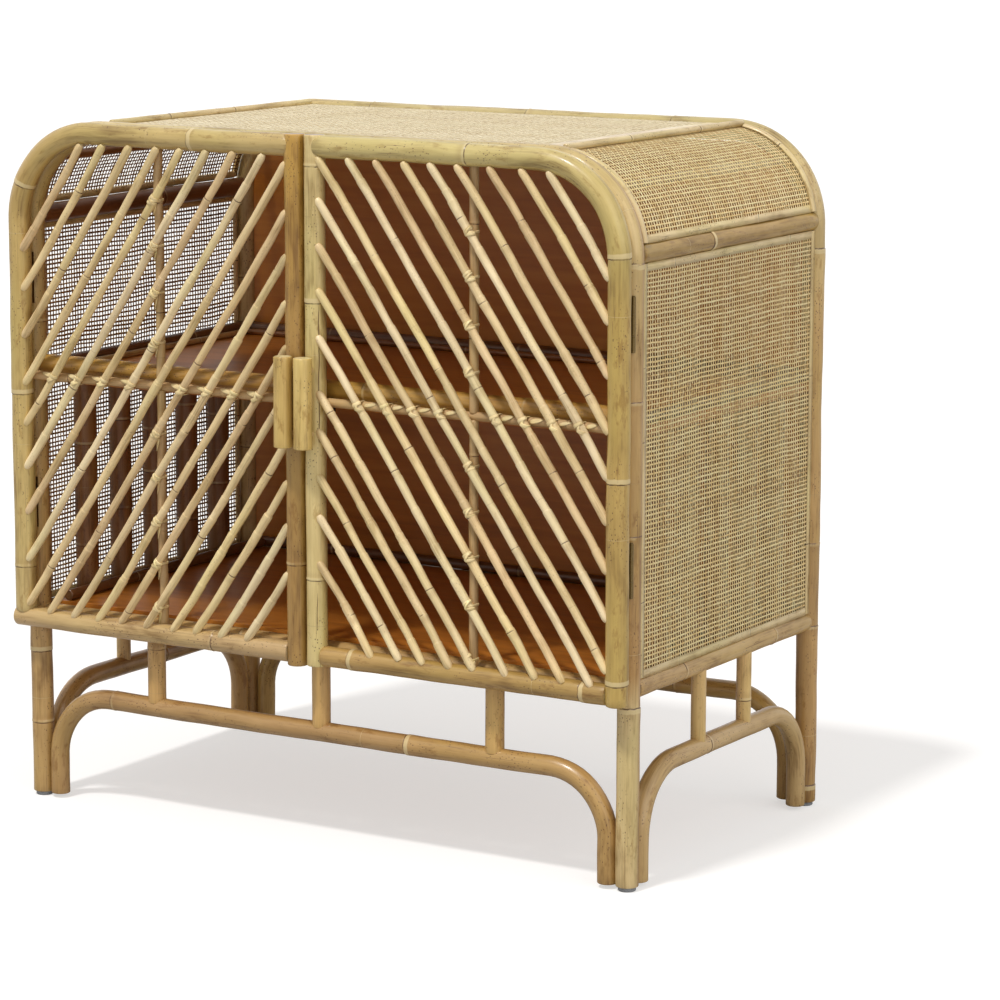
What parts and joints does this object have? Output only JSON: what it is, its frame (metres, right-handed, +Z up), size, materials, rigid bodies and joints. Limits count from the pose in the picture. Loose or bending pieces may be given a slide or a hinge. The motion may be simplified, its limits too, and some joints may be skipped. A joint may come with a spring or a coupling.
{
  "type": "rattan sideboard",
  "caption": "Low cabinet of bent rattan poles with rounded shoulders, woven cane sides and top, one shelf, and two hinged doors filled with slanting sticks, on arched legs.",
  "frame": {"origin": "on the floor, under the middle of the bounding box with the doors closed", "axes": "+X to the right as seen from the front, +Y towards the back, +Z up; the doors are at -Y"},
  "size_m": [0.8732, 0.5392, 0.8564],
  "materials": {
    "pole": "clear satin varnish on peeled rattan",
    "stick": "clear satin varnish on split rattan core",
    "cane": "open woven cane, unvarnished",
    "mat": "dense woven cane",
    "board": "brown stain, satin",
    "hinge": "dark aged brass",
    "catch": "dark brown moulded",
    "glide": "grey moulded"
  },
  "bodies": {
    "cabinet": {"front_frame": "pole", "back_frame": "pole", "front_bottom_rail": "pole", "back_bottom_rail": "pole", "left_bottom_rail": "pole", "right_bottom_rail": "pole", "left_top_rail": "pole", "right_top_rail": "pole", "left_shoulder_rail": "pole", "right_shoulder_rail": "pole", "base_front_arch": "pole", "base_back_arch": "pole", "base_left_arch": "pole", "base_right_arch": "pole", "base_struts": "pole", "foot_glides": "glide", "bottom_board": "board", "shelf_board": "board", "front_shelf_rail": "pole", "left_shelf_posts": "pole", "right_shelf_posts": "pole", "back_panel": "board", "back_strips": "board", "board_strips": "pole", "top_board": "board", "top_mat": "mat", "top_edge_poles": "pole", "left_shoulder_cane": "cane", "right_shoulder_cane": "cane", "left_shoulder_beading": "pole", "right_shoulder_beading": "pole", "left_side_cane": "cane", "right_side_cane": "cane", "left_side_beading": "pole", "right_side_beading": "pole", "hinge_post_leaves": "hinge", "hinge_pins": "hinge", "magnet_catch": "catch"},
    "left_door": {"left_door_outer_pole": "pole", "left_door_meeting_stile": "pole", "left_door_bottom_rail": "pole", "left_door_thin_rail": "stick", "left_door_thin_pole": "stick", "left_door_sticks": "stick", "left_door_ties": "stick", "left_handle": "pole", "left_handle_dowels": "pole", "left_hinge_door_leaves": "hinge", "left_strike_plate": "hinge"},
    "right_door": {"right_door_outer_pole": "pole", "right_door_meeting_stile": "pole", "right_door_bottom_rail": "pole", "right_door_thin_rail": "stick", "right_door_thin_pole": "stick", "right_door_sticks": "stick", "right_door_ties": "stick", "right_handle": "pole", "right_handle_dowels": "pole", "right_hinge_door_leaves": "hinge", "right_strike_plate": "hinge"}
  },
  "joints": [
    {"name": "left_door_hinge", "type": "hinge", "parent": "cabinet", "child": "left_door", "pos_m": [-0.4323, -0.2158, 0.5], "axis": [0, 0, -1], "range_deg": [0, 135]},
    {"name": "right_door_hinge", "type": "hinge", "parent": "cabinet", "child": "right_door", "pos_m": [0.4323, -0.2158, 0.5], "axis": [0, 0, 1], "range_deg": [0, 135]}
  ]
}
